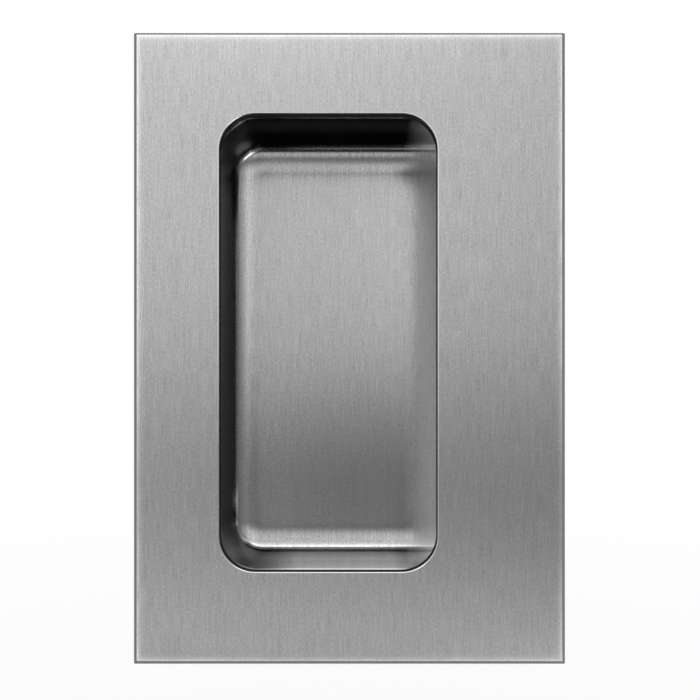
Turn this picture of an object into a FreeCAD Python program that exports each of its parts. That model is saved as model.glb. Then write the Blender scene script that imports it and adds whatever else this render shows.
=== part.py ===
import FreeCAD, Part, Sketcher
import os
from math import radians
from FreeCAD import Vector

# Flush pull for a sliding pocket door: a thick brushed steel face plate with an offset window,
# and a deep drawn sheet pan whose flange is spot welded into a rebate on the plate's back.
# The pan is wider than the window, so the fingers hook behind the plate's broad side.
#
# Millimetres. X runs to the right, Z up, and the plate's front faces -Y.
# The origin is the middle of the plate's back face, which lies on the door at Y = 0.

# Driving sizes: name, value, what it measures
SIZES = [
    ("plate_width", 82.0, "face plate, side to side"),
    ("plate_height", 120.0, "face plate, top to bottom"),
    ("plate_thickness", 3.0, "face plate, door face to front"),
    ("plate_edge_bevel", 0.8, "bevelled front edge of the plate"),
    ("plate_back_chamfer", 0.2, "deburred back edge of the plate"),
    ("opening_width", 41.3, "window in the plate, side to side"),
    ("opening_height", 86.7, "window in the plate, top to bottom"),
    ("opening_corner", 6.8, "corner radius of the window"),
    ("opening_offset", 4.0, "window centre, left of the plate's centre"),
    ("opening_rise", 1.0, "window centre, above the plate's centre"),
    ("opening_front_round", 0.2, "softened front edge of the window"),
    ("opening_back_round", 0.15, "deburred back edge of the window"),
    ("sheet_thickness", 1.0, "sheet that the pan is drawn from"),
    ("lip_overhang", 0.4, "plate stands this far inside the pan's wall"),
    ("grip_undercut", 8.4, "pan runs this far behind the plate's broad side"),
    ("pan_depth", 14.75, "inside of the pan, flange front to floor"),
    ("pan_draft", 4.75, "lean of the drawn walls, degrees"),
    ("floor_radius", 3.0, "inside radius between wall and floor"),
    ("bend_radius", 1.0, "radius of the flange bend on its back"),
    ("flange_width", 5.0, "flat of the flange beyond the bend"),
    ("seat_clearance", 0.3, "gap round the flange in its rebate"),
    ("rebate_relief", 0.05, "flange lies this far below the door face"),
    ("weld_diameter", 3.0, "spot weld mark"),
    ("weld_sink", 0.15, "depth of a spot weld mark"),
    ("weld_flare", 75.0, "slope of a spot weld mark's rim, degrees from straight in"),
    ("side_weld_count", 4, "spot welds down each side"),
    ("end_weld_count", 3, "spot welds along each end"),
]

# How far each side of an outline lies from the origin, and the radius of its corners
WINDOW = {
    "left": "Sizes.opening_width / 2 + Sizes.opening_offset",
    "right": "Sizes.opening_width / 2 - Sizes.opening_offset",
    "top": "Sizes.opening_height / 2 + Sizes.opening_rise",
    "bottom": "Sizes.opening_height / 2 - Sizes.opening_rise",
    "corner": "Sizes.opening_corner",
}

REBATE_DEPTH = "Sizes.sheet_thickness + Sizes.rebate_relief"

TOLERANCE = 1e-4


def grown(outline, step):
    """The outline pushed out by a step on every side, with its corners still concentric."""
    return {part: "%s + %s" % (reach, step) for part, reach in outline.items()}


PAN_MOUTH = grown(WINDOW, "Sizes.lip_overhang")
PAN_MOUTH["right"] = WINDOW["right"] + " + Sizes.grip_undercut"
PAN_OUTSIDE = grown(PAN_MOUTH, "Sizes.sheet_thickness")
FLANGE = grown(PAN_OUTSIDE, "Sizes.bend_radius + Sizes.flange_width")
REBATE = grown(FLANGE, "Sizes.seat_clearance")
WELD_LINE = grown(PAN_OUTSIDE, "Sizes.bend_radius + Sizes.flange_width / 2")


def size_sheet(doc):
    """The sheet that holds every driving size under its own name."""
    sheet = doc.addObject("Spreadsheet::Sheet", "Sizes")
    for row, (name, value, meaning) in enumerate(SIZES, start=1):
        sheet.set("A%d" % row, meaning)
        sheet.set("B%d" % row, str(value))
        sheet.setAlias("B%d" % row, name)
    doc.recompute()
    return sheet


def new_body(doc, label):
    body = doc.addObject("PartDesign::Body", label)
    body.Label = label
    doc.recompute()
    return body


def value_of(item, expression):
    return float(item.evalExpression(expression))


def door_plane_sketch(body, name, lift):
    """A sketch parallel to the door face, lifted from it towards the front."""
    sketch = body.newObject("Sketcher::SketchObject", name)
    planes = {feature.Role: feature for feature in body.Origin.OriginFeatures}
    sketch.AttachmentSupport = [(planes["XZ_Plane"], "")]
    sketch.MapMode = "FlatFace"
    sketch.setExpression("AttachmentOffset.Base.z", lift)
    return sketch


def name_constraint(sketch, constraint, name, expression):
    index = sketch.addConstraint(constraint)
    sketch.renameConstraint(index, name)
    sketch.setExpression("Constraints." + name, expression)


def rounded_rectangle(body, name, outline, lift="0"):
    """Four straight sides joined by four tangent corner arcs, each side placed from the origin."""
    sketch = door_plane_sketch(body, name, lift)
    reach = {part: value_of(sketch, expression) for part, expression in outline.items()}
    corner = reach["corner"]
    high, low = reach["top"] - corner, corner - reach["bottom"]
    near, far = corner - reach["left"], reach["right"] - corner
    centres = [Vector(far, high), Vector(near, high), Vector(near, low), Vector(far, low)]
    arcs = []
    for turn, centre in enumerate(centres):
        circle = Part.Circle(centre, Vector(0, 0, 1), corner)
        arcs.append(sketch.addGeometry(Part.ArcOfCircle(circle, radians(90 * turn), radians(90 * turn + 90))))
    lines = []
    for turn in range(4):
        start = sketch.getPoint(arcs[turn], 2)
        end = sketch.getPoint(arcs[(turn + 1) % 4], 1)
        lines.append(sketch.addGeometry(Part.LineSegment(start, end)))
    for turn in range(4):
        sketch.addConstraint(Sketcher.Constraint("Tangent", arcs[turn], 2, lines[turn], 1))
        sketch.addConstraint(Sketcher.Constraint("Tangent", lines[turn], 2, arcs[(turn + 1) % 4], 1))
        sketch.addConstraint(Sketcher.Constraint("Vertical" if turn % 2 else "Horizontal", lines[turn]))
    for arc in arcs[1:]:
        sketch.addConstraint(Sketcher.Constraint("Equal", arcs[0], arc))
    top, left, bottom, right = lines
    sides = {
        "right": Sketcher.Constraint("DistanceX", -1, 1, right, 1, reach["right"]),
        "left": Sketcher.Constraint("DistanceX", left, 1, -1, 1, reach["left"]),
        "top": Sketcher.Constraint("DistanceY", -1, 1, top, 1, reach["top"]),
        "bottom": Sketcher.Constraint("DistanceY", bottom, 1, -1, 1, reach["bottom"]),
        "corner": Sketcher.Constraint("Radius", arcs[0], corner),
    }
    for part, constraint in sides.items():
        name_constraint(sketch, constraint, part, outline[part])
    return sketch


def plain_rectangle(body, name, half_width, half_height):
    """A rectangle with square corners, centred on the origin."""
    sketch = door_plane_sketch(body, name, "0")
    across, up = value_of(sketch, half_width), value_of(sketch, half_height)
    corners = [Vector(across, up), Vector(-across, up), Vector(-across, -up), Vector(across, -up)]
    lines = []
    for turn in range(4):
        lines.append(sketch.addGeometry(Part.LineSegment(corners[turn], corners[(turn + 1) % 4])))
    for turn in range(4):
        sketch.addConstraint(Sketcher.Constraint("Coincident", lines[turn], 2, lines[(turn + 1) % 4], 1))
        sketch.addConstraint(Sketcher.Constraint("Vertical" if turn % 2 else "Horizontal", lines[turn]))
    top, left, bottom, right = lines
    sides = {
        "right": (Sketcher.Constraint("DistanceX", -1, 1, right, 1, across), half_width),
        "left": (Sketcher.Constraint("DistanceX", left, 1, -1, 1, across), half_width),
        "top": (Sketcher.Constraint("DistanceY", -1, 1, top, 1, up), half_height),
        "bottom": (Sketcher.Constraint("DistanceY", bottom, 1, -1, 1, up), half_height),
    }
    for part, (constraint, expression) in sides.items():
        name_constraint(sketch, constraint, part, expression)
    return sketch


def weld_circles(body, name, places, lift):
    """Spot weld marks, each given as its distance left of and below the origin."""
    sketch = door_plane_sketch(body, name, lift)
    radius = "Sizes.weld_diameter / 2"
    for number, (left, below) in enumerate(places):
        centre = Vector(-value_of(sketch, left), -value_of(sketch, below))
        circle = sketch.addGeometry(Part.Circle(centre, Vector(0, 0, 1), value_of(sketch, radius)))
        across = Sketcher.Constraint("DistanceX", circle, 3, -1, 1, -centre.x)
        up = Sketcher.Constraint("DistanceY", circle, 3, -1, 1, -centre.y)
        size = Sketcher.Constraint("Radius", circle, value_of(sketch, radius))
        name_constraint(sketch, across, "across_%d" % number, left)
        name_constraint(sketch, up, "below_%d" % number, below)
        name_constraint(sketch, size, "radius_%d" % number, radius)
    return sketch


def extrude(body, kind, name, sketch, length, towards_door, taper=None):
    """A Pad adds along +Y when it runs towards the door, and a Pocket cuts the same way."""
    before = body.Shape.Volume if body.Tip else 0.0
    feature = body.newObject("PartDesign::" + kind, name)
    feature.Profile = sketch
    feature.setExpression("Length", length)
    feature.Reversed = towards_door if kind == "Pad" else not towards_door
    if taper:
        feature.setExpression("TaperAngle", taper)
    sketch.Visibility = False
    body.Document.recompute()
    gained = body.Shape.Volume - before
    if (gained > 0) != (kind == "Pad") or abs(gained) < TOLERANCE:
        raise ValueError("%s changed the volume by %.3f" % (name, gained))
    return feature


def edges_in_plane(feature, depth, inner=False):
    """Names of the edges at one depth: all of them, or only those inside the outermost loop."""
    found = {}
    for number, edge in enumerate(feature.Shape.Edges, start=1):
        box = edge.BoundBox
        if abs(box.YMin - depth) < TOLERANCE and abs(box.YMax - depth) < TOLERANCE:
            found["Edge%d" % number] = (box.XMin, -box.XMax, box.ZMin, -box.ZMax)
    if not inner:
        return list(found)
    outermost = [min(sides) for sides in zip(*found.values())]
    return [
        name
        for name, sides in found.items()
        if all(side - limit > TOLERANCE for side, limit in zip(sides, outermost))
    ]


def dress(body, kind, name, edges, size_name, expression):
    """A fillet or chamfer on named edges of the body as it stands."""
    base = body.Tip
    feature = body.newObject("PartDesign::" + kind, name)
    feature.Base = (base, edges)
    feature.setExpression(size_name, expression)
    body.Document.recompute()
    return feature


def repeat(body, name, original, axis_role, extent, count):
    """Equal copies of a feature spread along one of the body's own axes."""
    pattern = body.newObject("PartDesign::LinearPattern", name)
    axes = {feature.Role: feature for feature in body.Origin.OriginFeatures}
    pattern.Originals = [original]
    pattern.Direction = (axes[axis_role], [""])
    pattern.Mode = "Extent"
    pattern.setExpression("Length", extent)
    pattern.setExpression("Occurrences", count)
    body.Tip = pattern
    body.Document.recompute()
    return pattern


def face_plate(doc):
    """Thick plate with square plan corners, bevelled front edges, a window and a rebate behind it."""
    body = new_body(doc, "face_plate")
    blank = plain_rectangle(body, "blank_outline", "Sizes.plate_width / 2", "Sizes.plate_height / 2")
    extrude(body, "Pad", "blank", blank, "Sizes.plate_thickness", towards_door=False)
    front = value_of(body, "-Sizes.plate_thickness")
    seat = value_of(body, "-(%s)" % REBATE_DEPTH)
    edges = edges_in_plane(body.Tip, front)
    dress(body, "Chamfer", "front_edge", edges, "Size", "Sizes.plate_edge_bevel")
    edges = edges_in_plane(body.Tip, 0.0)
    dress(body, "Chamfer", "back_edge", edges, "Size", "Sizes.plate_back_chamfer")
    window = rounded_rectangle(body, "window_outline", WINDOW)
    extrude(body, "Pocket", "window", window, "Sizes.plate_thickness", towards_door=False)
    rebate = rounded_rectangle(body, "rebate_outline", REBATE)
    extrude(body, "Pocket", "rebate", rebate, REBATE_DEPTH, towards_door=False)
    edges = edges_in_plane(body.Tip, front, inner=True)
    dress(body, "Fillet", "window_front_edge", edges, "Radius", "Sizes.opening_front_round")
    edges = edges_in_plane(body.Tip, seat, inner=True)
    dress(body, "Fillet", "window_back_edge", edges, "Radius", "Sizes.opening_back_round")
    return body


def recess_pan(doc):
    """Deep drawn pan: leaning walls, a radiused floor and a flange bent outwards to its weld line."""
    body = new_body(doc, "recess_pan")
    seat = value_of(body, "-(%s)" % REBATE_DEPTH)
    outside_depth = "Sizes.pan_depth + Sizes.sheet_thickness"
    lean = "-Sizes.pan_draft"
    outside = rounded_rectangle(body, "outside_outline", PAN_OUTSIDE, REBATE_DEPTH)
    extrude(body, "Pad", "outside", outside, outside_depth, towards_door=True, taper=lean)
    flange = rounded_rectangle(body, "flange_outline", FLANGE, REBATE_DEPTH)
    extrude(body, "Pad", "flange", flange, "Sizes.sheet_thickness", towards_door=True)
    cavity = rounded_rectangle(body, "cavity_outline", PAN_MOUTH, REBATE_DEPTH)
    extrude(body, "Pocket", "cavity", cavity, "Sizes.pan_depth", towards_door=True, taper=lean)
    edges = edges_in_plane(body.Tip, seat + value_of(body, "Sizes.pan_depth"))
    dress(body, "Fillet", "floor_inside", edges, "Radius", "Sizes.floor_radius")
    edges = edges_in_plane(body.Tip, seat + value_of(body, outside_depth))
    dress(body, "Fillet", "floor_outside", edges, "Radius", "Sizes.floor_radius + Sizes.sheet_thickness")
    edges = edges_in_plane(body.Tip, value_of(body, "-Sizes.rebate_relief"), inner=True)
    dress(body, "Fillet", "bend_back", edges, "Radius", "Sizes.bend_radius")
    edges = edges_in_plane(body.Tip, seat, inner=True)
    dress(body, "Fillet", "bend_front", edges, "Radius", "Sizes.bend_radius + Sizes.sheet_thickness")
    spot_welds(body)
    return body


def spot_welds(body):
    """Rows of shallow dished electrode marks on the flange's back."""
    lift = "Sizes.rebate_relief"
    sink = "Sizes.weld_sink"
    flare = "-Sizes.weld_flare"
    side_start = PAN_MOUTH["bottom"] + " - Sizes.opening_corner"
    side_places = [(WELD_LINE["left"], side_start), ("-(%s)" % WELD_LINE["right"], side_start)]
    side_marks = weld_circles(body, "side_weld_outline", side_places, lift)
    side_weld = extrude(body, "Pocket", "side_weld", side_marks, sink, towards_door=False, taper=flare)
    side_extent = "Sizes.opening_height - 2 * Sizes.opening_corner"
    repeat(body, "side_welds", side_weld, "Z_Axis", side_extent, "Sizes.side_weld_count")
    end_start = PAN_MOUTH["left"] + " - Sizes.opening_corner"
    end_places = [(end_start, WELD_LINE["bottom"]), (end_start, "-(%s)" % WELD_LINE["top"])]
    end_marks = weld_circles(body, "end_weld_outline", end_places, lift)
    end_weld = extrude(body, "Pocket", "end_weld", end_marks, sink, towards_door=False, taper=flare)
    end_extent = "Sizes.opening_width + Sizes.grip_undercut - 2 * Sizes.opening_corner"
    repeat(body, "end_welds", end_weld, "X_Axis", end_extent, "Sizes.end_weld_count")


def check_document(doc, bodies):
    """Stops if any object failed to compute or any sub-part isn't one sound solid."""
    for item in doc.Objects:
        if "Invalid" in item.State or "Error" in item.State:
            raise ValueError("%s is in state %s" % (item.Name, item.State))
    for body in bodies:
        shape = body.Shape
        if shape.isNull() or not shape.isValid() or len(shape.Solids) != 1:
            raise ValueError("%s isn't one sound solid" % body.Label)


def main():
    doc = FreeCAD.newDocument("pocket_door_pull")
    size_sheet(doc)
    bodies = [face_plate(doc), recess_pan(doc)]
    doc.recompute()
    check_document(doc, bodies)
    os.makedirs("parts", exist_ok=True)
    for body in bodies:
        body.Shape.exportStep("parts/%s.step" % body.Label)
        box = body.Shape.BoundBox
        print(
            "%s: volume %.1f mm3, X %.2f to %.2f, Y %.2f to %.2f, Z %.2f to %.2f"
            % (body.Label, body.Shape.Volume, box.XMin, box.XMax, box.YMin, box.YMax, box.ZMin, box.ZMax)
        )


main()
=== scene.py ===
# %% [markdown]
# # A flush pull for a pocket door, in brushed steel
#
# The object is two pieces of stainless steel. A thick face plate has a window cut in it, set off to one side, and a
# deep drawn pan is welded behind that window, so that fingers can hook behind the plate's broad side. There is no
# paint, no screw and nothing that moves, so everything that the eye enjoys here is metal: the upright hairlines, the
# bevel round the plate, and the dark, smooth walls of the pan.
#
# The lesson goes from shape to finish to light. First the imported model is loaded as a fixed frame. Its solids are
# right in form, but steel shows every facet of a mesh, so both pieces are lofted again here with fine, even rings.

# %% Load the frame
import bmesh
import bpy
from math import cos, hypot, pi, radians, sin, sqrt, tan
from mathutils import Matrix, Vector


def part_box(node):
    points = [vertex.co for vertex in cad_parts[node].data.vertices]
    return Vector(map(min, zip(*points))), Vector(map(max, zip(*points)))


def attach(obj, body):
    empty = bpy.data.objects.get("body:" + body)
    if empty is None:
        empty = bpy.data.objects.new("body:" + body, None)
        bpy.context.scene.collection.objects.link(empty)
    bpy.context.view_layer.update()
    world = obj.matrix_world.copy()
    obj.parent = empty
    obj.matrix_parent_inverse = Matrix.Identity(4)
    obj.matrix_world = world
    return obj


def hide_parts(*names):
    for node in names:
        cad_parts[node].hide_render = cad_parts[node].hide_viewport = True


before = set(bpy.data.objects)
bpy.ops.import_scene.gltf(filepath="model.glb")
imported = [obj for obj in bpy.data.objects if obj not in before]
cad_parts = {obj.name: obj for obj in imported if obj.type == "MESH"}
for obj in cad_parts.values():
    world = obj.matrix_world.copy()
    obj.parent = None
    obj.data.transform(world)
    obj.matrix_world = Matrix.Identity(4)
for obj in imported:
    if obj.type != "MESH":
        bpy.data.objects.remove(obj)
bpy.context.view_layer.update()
scene = bpy.context.scene

# %% [markdown]
# ## Sizes
#
# The frame gives the outer sizes of both pieces. The others are the maker's own sizes of the window, the sheet and
# the radii, in millimetres, and they match the solids in the frame. One thing is finer here than in the solids: they
# have a plain round between floor and wall, and this pan has a tight round with a soft rise before it.

# %% Sizes
MM = 0.001

plate_low, plate_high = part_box("face_plate")
pan_low, pan_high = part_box("recess_pan")

FRONT = plate_low.y
BACK = plate_high.y

WINDOW_WIDTH = 41.3 * MM
WINDOW_HEIGHT = 86.7 * MM
WINDOW_CORNER = 6.8 * MM
WINDOW_OFFSET = 4.0 * MM
WINDOW_RISE = 1.0 * MM

SHEET = 1.0 * MM
LIP_OVERHANG = 0.4 * MM
GRIP_UNDERCUT = 8.4 * MM
DRAFT = radians(4.75)
FLOOR_RADIUS = 1.5 * MM
DISH_TILT = radians(26.0)
DISH_REACH = 4.5 * MM
DISH_EASE = 1.4
BEND_RADIUS = 1.0 * MM
FLANGE_WIDTH = 5.0 * MM
SEAT_CLEARANCE = 0.3 * MM

SEAT = pan_low.y
FLANGE_BACK = SEAT + SHEET
PAN_FLOOR = pan_high.y - SHEET

print("plate", tuple(round(v / MM, 2) for v in plate_high - plate_low), "mm")
print("pan floor lies", round((PAN_FLOOR - FRONT) / MM, 2), "mm behind the front")

# %% [markdown]
# ## One ring, many times
#
# Both pieces are rings pushed in and out. A ring is a rounded rectangle seen from the front, given by how far its
# four sides lie from the origin. Every ring has the same number of points, so any ring can be joined to the next one
# with a band of four-sided faces. That is a loft, and it keeps the mesh even where the light rolls over it.
#
# Two maps go with the mesh, both in millimetres. "grain" is the sheet laid flat: brushing is done before the sheet is
# drawn, so a point on a wall is unrolled outwards by its distance along the metal. "round" gives the distance across
# the section and the distance round the ring, for marks that follow an edge.

# %% Rings
CORNER_STEPS = 14
SIDE_STEP = 1.6 * MM


class Outline:
    """A rounded rectangle seen from the front: left, right, bottom, top and corner radius."""

    def __init__(self, left, right, bottom, top, corner):
        self.left, self.right, self.bottom, self.top, self.corner = left, right, bottom, top, corner

    def grown(self, by, corner=None):
        """The outline pushed out on every side, concentric unless a corner radius is given."""
        radius = self.corner + by if corner is None else corner
        return Outline(self.left - by, self.right + by, self.bottom - by, self.top + by, radius)


class Ring:
    """One ring of a loft, the band of metal that starts at it, and a 0 to 1 mark for its finish."""

    def __init__(self, outline, depth, band, mark=0.0, unrolled=0.0):
        self.outline, self.depth, self.band, self.mark, self.unrolled = outline, depth, band, mark, unrolled


def ring_counts(outline):
    """How many steps the upright and the level sides get."""
    up = outline.top - outline.bottom - 2 * outline.corner
    across = outline.right - outline.left - 2 * outline.corner
    return max(2, round(up / SIDE_STEP)), max(2, round(across / SIDE_STEP))


def ring_points(outline, counts):
    """Points (x, z) and outward directions, anticlockwise seen from the front, from the right side's head."""
    upright, level = counts
    r = outline.corner
    centres = [
        (outline.right - r, outline.top - r),
        (outline.left + r, outline.top - r),
        (outline.left + r, outline.bottom + r),
        (outline.right - r, outline.bottom + r),
    ]
    points = []
    for turn, (cx, cz) in enumerate(centres):
        for step in range(CORNER_STEPS + 1):
            angle = pi / 2 * (turn + step / CORNER_STEPS)
            out = (cos(angle), sin(angle))
            points.append(((cx + r * out[0], cz + r * out[1]), out))
        nx, nz = centres[(turn + 1) % 4]
        start = points[-1][0]
        end = (nx + r * out[0], nz + r * out[1])
        steps = level if turn % 2 == 0 else upright
        for step in range(1, steps):
            f = step / steps
            points.append(((start[0] + (end[0] - start[0]) * f, start[1] + (end[1] - start[1]) * f), out))
    return points


print("rings:", CORNER_STEPS, "steps a corner,", round(SIDE_STEP / MM, 1), "mm a step along the sides")


# %% Loft
def mesh_from(bm, name):
    mesh = bpy.data.meshes.new(name)
    bm.to_mesh(mesh)
    bm.free()
    return mesh


def put_in_scene(name, data):
    thing = bpy.data.objects.new(name, data)
    scene.collection.objects.link(thing)
    return thing


def lay_maps(bm, faces_at_seam, flat, around, length_round):
    """Writes both maps, in millimetres."""
    grain = bm.loops.layers.uv.new("grain")
    ring_map = bm.loops.layers.uv.new("round")
    for face in bm.faces:
        for corner in face.loops:
            across, along = around[corner.vert]
            if face in faces_at_seam and along == 0.0:
                along = length_round
            corner[grain].uv = [value / MM for value in flat[corner.vert]]
            corner[ring_map].uv = (across / MM, along / MM)


def loft(name, rings, counts, mark_name, close=False, caps=()):
    """Joins rings into one mesh piece, with its maps and its finish mark."""
    bm = bmesh.new()
    mark = bm.verts.layers.float.new(mark_name)
    first = [point for point, _ in ring_points(rings[0].outline, counts)]
    total = len(first)
    steps = [hypot(b[0] - a[0], b[1] - a[1]) for a, b in zip(first, first[1:] + first[:1])]
    rows, flat, around = [], {}, {}
    section = 0.0
    for number, ring in enumerate(rings):
        if number:
            before = rings[number - 1]
            section += hypot(ring.depth - before.depth, ring.outline.left - before.outline.left)
        row = []
        for i, ((x, z), (ox, oz)) in enumerate(ring_points(ring.outline, counts)):
            vertex = bm.verts.new((x, ring.depth, z))
            vertex[mark] = ring.mark
            flat[vertex] = (x + ox * ring.unrolled, z + oz * ring.unrolled)
            around[vertex] = (section, sum(steps[:i]))
            row.append(vertex)
        rows.append(row)
    pairs = list(zip(rows, rows[1:] + [rows[0]]))
    if not close:
        pairs.pop()
    faces_at_seam = set()
    for (near, far), ring in zip(pairs, rings):
        for i in range(total):
            j = (i + 1) % total
            face = bm.faces.new((near[i], near[j], far[j], far[i]))
            face.material_index = ring.band
            if j == 0:
                faces_at_seam.add(face)
    for index, band in caps:
        face = bm.faces.new(rows[index])
        face.material_index = band
    bmesh.ops.recalc_face_normals(bm, faces=bm.faces)
    lay_maps(bm, faces_at_seam, flat, around, sum(steps))
    for face in bm.faces:
        face.smooth = True
    piece = put_in_scene(name, mesh_from(bm, name))
    print(name, len(piece.data.vertices), "points,", len(piece.data.polygons), "faces")
    return piece


# %% Flat faces
SHARP_FROM = radians(35)
FLAT_WEIGHT = 90


def keep_flats_flat(piece):
    """Large flat faces win over small round ones where they meet, so no shading bleeds across the flats."""
    piece.data.set_sharp_from_angle(angle=SHARP_FROM)
    weighted = piece.modifiers.new("Flat faces first", "WEIGHTED_NORMAL")
    weighted.mode = "FACE_AREA"
    weighted.weight = FLAT_WEIGHT
    weighted.keep_sharp = True


# %% [markdown]
# ## The face plate
#
# The plate is cut from 3 mm sheet and brushed from top to bottom. The belt dips a little over the border of the
# sheet, so the last two millimetres of the face fall away by about one degree, and a narrow bevel is run round it.
# Hands rub that border, and a painted highlight on it gives the pale line along the sides; the bevel draws a dark line
# outside it. A bevel modifier would give one round of one size. Here the section is drawn as it is: fall, arris,
# bevel, arris, side, and each ring carries a mark that says how far it is rubbed and how much painted highlight it
# gets.
#
# The plate goes round its window like a picture frame, so its loft closes on itself: over the front, in through the
# window, across the rebate that holds the pan's flange, and back over the door side.

# %% Plate sizes
BEVEL = 0.8 * MM
ARRIS = 0.12 * MM
FALL_WIDTH = 2.8 * MM
FALL_TILT = radians(1.0)
BACK_ARRIS = 0.2 * MM
PLAN_CORNER = 0.2 * MM
WINDOW_FRONT_ROUND = 0.2 * MM
WINDOW_BACK_ROUND = 0.15 * MM
WINDOW_RUB_AND_HIGHLIGHT = 0.1 * MM
ARC_STEPS = 6
FALL_STEPS = 12
SIDE_RUB_AND_HIGHLIGHT = 0.6
BACK_RUB_AND_HIGHLIGHT = 0.5

FACE_BAND, BEVEL_BAND, SIDE_BAND, BACK_BAND, CUT_BAND = range(5)

plate_outline = Outline(plate_low.x, plate_high.x, plate_low.z, plate_high.z, PLAN_CORNER)
window = Outline(
    -WINDOW_OFFSET - WINDOW_WIDTH / 2,
    -WINDOW_OFFSET + WINDOW_WIDTH / 2,
    WINDOW_RISE - WINDOW_HEIGHT / 2,
    WINDOW_RISE + WINDOW_HEIGHT / 2,
    WINDOW_CORNER,
)
pan_mouth = Outline(
    window.left - LIP_OVERHANG,
    window.right + GRIP_UNDERCUT,
    window.bottom - LIP_OVERHANG,
    window.top + LIP_OVERHANG,
    window.corner + LIP_OVERHANG,
)
flange_outline = pan_mouth.grown(SHEET + BEND_RADIUS + FLANGE_WIDTH)
rebate = flange_outline.grown(SEAT_CLEARANCE)
print("pan reaches", round((pan_mouth.right - window.right) / MM, 1), "mm behind the broad side")


# %% Plate section
def arc(inset, fall, radius, start, end):
    """Points (inset, fall) on an arc whose normal turns from start to end, measured from straight front."""
    turns = [start + (end - start) * step / ARC_STEPS for step in range(ARC_STEPS + 1)]
    return [(inset - radius * sin(turn), fall - radius * cos(turn)) for turn in turns]


def plate_rim():
    """Inset, fall, band, and rub and painted highlight of the plate's edge, from its side to the flat of its face."""
    steepening = tan(FALL_TILT) / (2 * (FALL_WIDTH - BEVEL))
    head = steepening * (FALL_WIDTH - BEVEL) ** 2
    upper = (BEVEL + ARRIS * sin(FALL_TILT), head + ARRIS * cos(FALL_TILT))
    bevel_foot = upper[0] + upper[1] - ARRIS * sqrt(2)
    lower = (ARRIS, bevel_foot + ARRIS * (sqrt(2) - 1))
    foot_arc = arc(*lower, ARRIS, pi / 2, pi / 4)
    # The rub marks carry a painted highlight: full where the bevel meets the face, fading over the fall.
    rim = [(i, f, SIDE_BAND, SIDE_RUB_AND_HIGHLIGHT) for i, f in foot_arc[:-1]]
    rim.append((*foot_arc[-1], BEVEL_BAND, 0.0))
    head_arc = arc(*upper, ARRIS, pi / 4, FALL_TILT)[:-1]
    rim += [(i, f, BEVEL_BAND, step / len(head_arc)) for step, (i, f) in enumerate(head_arc)]
    for step in range(FALL_STEPS + 1):
        left = 1 - step / FALL_STEPS
        inset = FALL_WIDTH - (FALL_WIDTH - BEVEL) * left
        rim.append((inset, steepening * (FALL_WIDTH - inset) ** 2, FACE_BAND, left ** 4))
    return rim


def plate_rings():
    """All rings of the plate: up its side, over its face, in through the window and across the rebate."""
    rings = [Ring(plate_outline.grown(-BACK_ARRIS, PLAN_CORNER), BACK, SIDE_BAND, BACK_RUB_AND_HIGHLIGHT)]
    rings.append(Ring(plate_outline, BACK - BACK_ARRIS, SIDE_BAND))
    for inset, fall, band, rub_and_highlight in plate_rim():
        corner = PLAN_CORNER + max(0.0, inset - BEVEL)
        rings.append(Ring(plate_outline.grown(-inset, corner), FRONT + fall, band, rub_and_highlight))
    # The rub mark rises to full over the window's front arris: a painted highlight round the opening.
    rings.append(Ring(window.grown(WINDOW_FRONT_ROUND + WINDOW_RUB_AND_HIGHLIGHT), FRONT, FACE_BAND))
    for step in range(ARC_STEPS + 1):
        turn = pi / 2 * step / ARC_STEPS
        outline = window.grown(WINDOW_FRONT_ROUND * (1 - sin(turn)))
        depth = FRONT + WINDOW_FRONT_ROUND * (1 - cos(turn))
        bright = step < ARC_STEPS - 1
        rings.append(Ring(outline, depth, BEVEL_BAND if bright else CUT_BAND, float(bright)))
    for step in range(ARC_STEPS + 1):
        turn = pi / 2 * step / ARC_STEPS
        outline = window.grown(WINDOW_BACK_ROUND * (1 - cos(turn)))
        rings.append(Ring(outline, SEAT - WINDOW_BACK_ROUND * (1 - sin(turn)), CUT_BAND))
    rings[-1].band = BACK_BAND
    rings.append(Ring(rebate, SEAT, BACK_BAND))
    rings.append(Ring(rebate, BACK, BACK_BAND))
    return rings


plate_section = plate_rings()
print("plate section:", len(plate_section), "rings")

# %% Face plate
face_plate = loft("face_plate_brushed", plate_section, ring_counts(window), "rub_and_highlight", close=True)
keep_flats_flat(face_plate)
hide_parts("face_plate")
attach(face_plate, "root")

# %% [markdown]
# ## The recess pan
#
# The pan starts as flat sheet. A punch draws it through a rounded opening, which leaves four walls that lean a few
# degrees, a radius round the floor, and a flange that is trimmed and spot welded to the plate. The same loft makes
# it: down the inside from the flange to the floor, and back up the outside one sheet thickness away.
#
# The punch isn't flat right up to its nose. The last four to five millimetres of the floor rise towards the wall,
# ever steeper, and only then comes the tight round. That soft rise bends the mirror image of the room, so it carries
# the bright line along the foot of the pan. A single fillet gives a line of one width and no glow beside it.
#
# The mark on its rings says how far the brush reached: all of the floor, less and less of the round, and none of the
# walls.

# %% Pan section
WALL_STEPS = 8
FILLET_STEPS = 18
DISH_STEPS = 24
BEND_STEPS = 8
FLANGE_STEPS = 3
BRUSH_FADES = radians(40.0)
BRUSH_ENDS = radians(80.0)
LEAST_CORNER = 0.8 * MM

FLOOR_BAND, WALL_BAND, OUTSIDE_BAND, RIM_BAND, WELD_BAND = range(5)


def out_of_reach(tilt):
    """0 where the brush worked and 1 where it didn't, by how steep the metal stands."""
    return min(1.0, max(0.0, (tilt - BRUSH_FADES) / (BRUSH_ENDS - BRUSH_FADES)))


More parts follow.
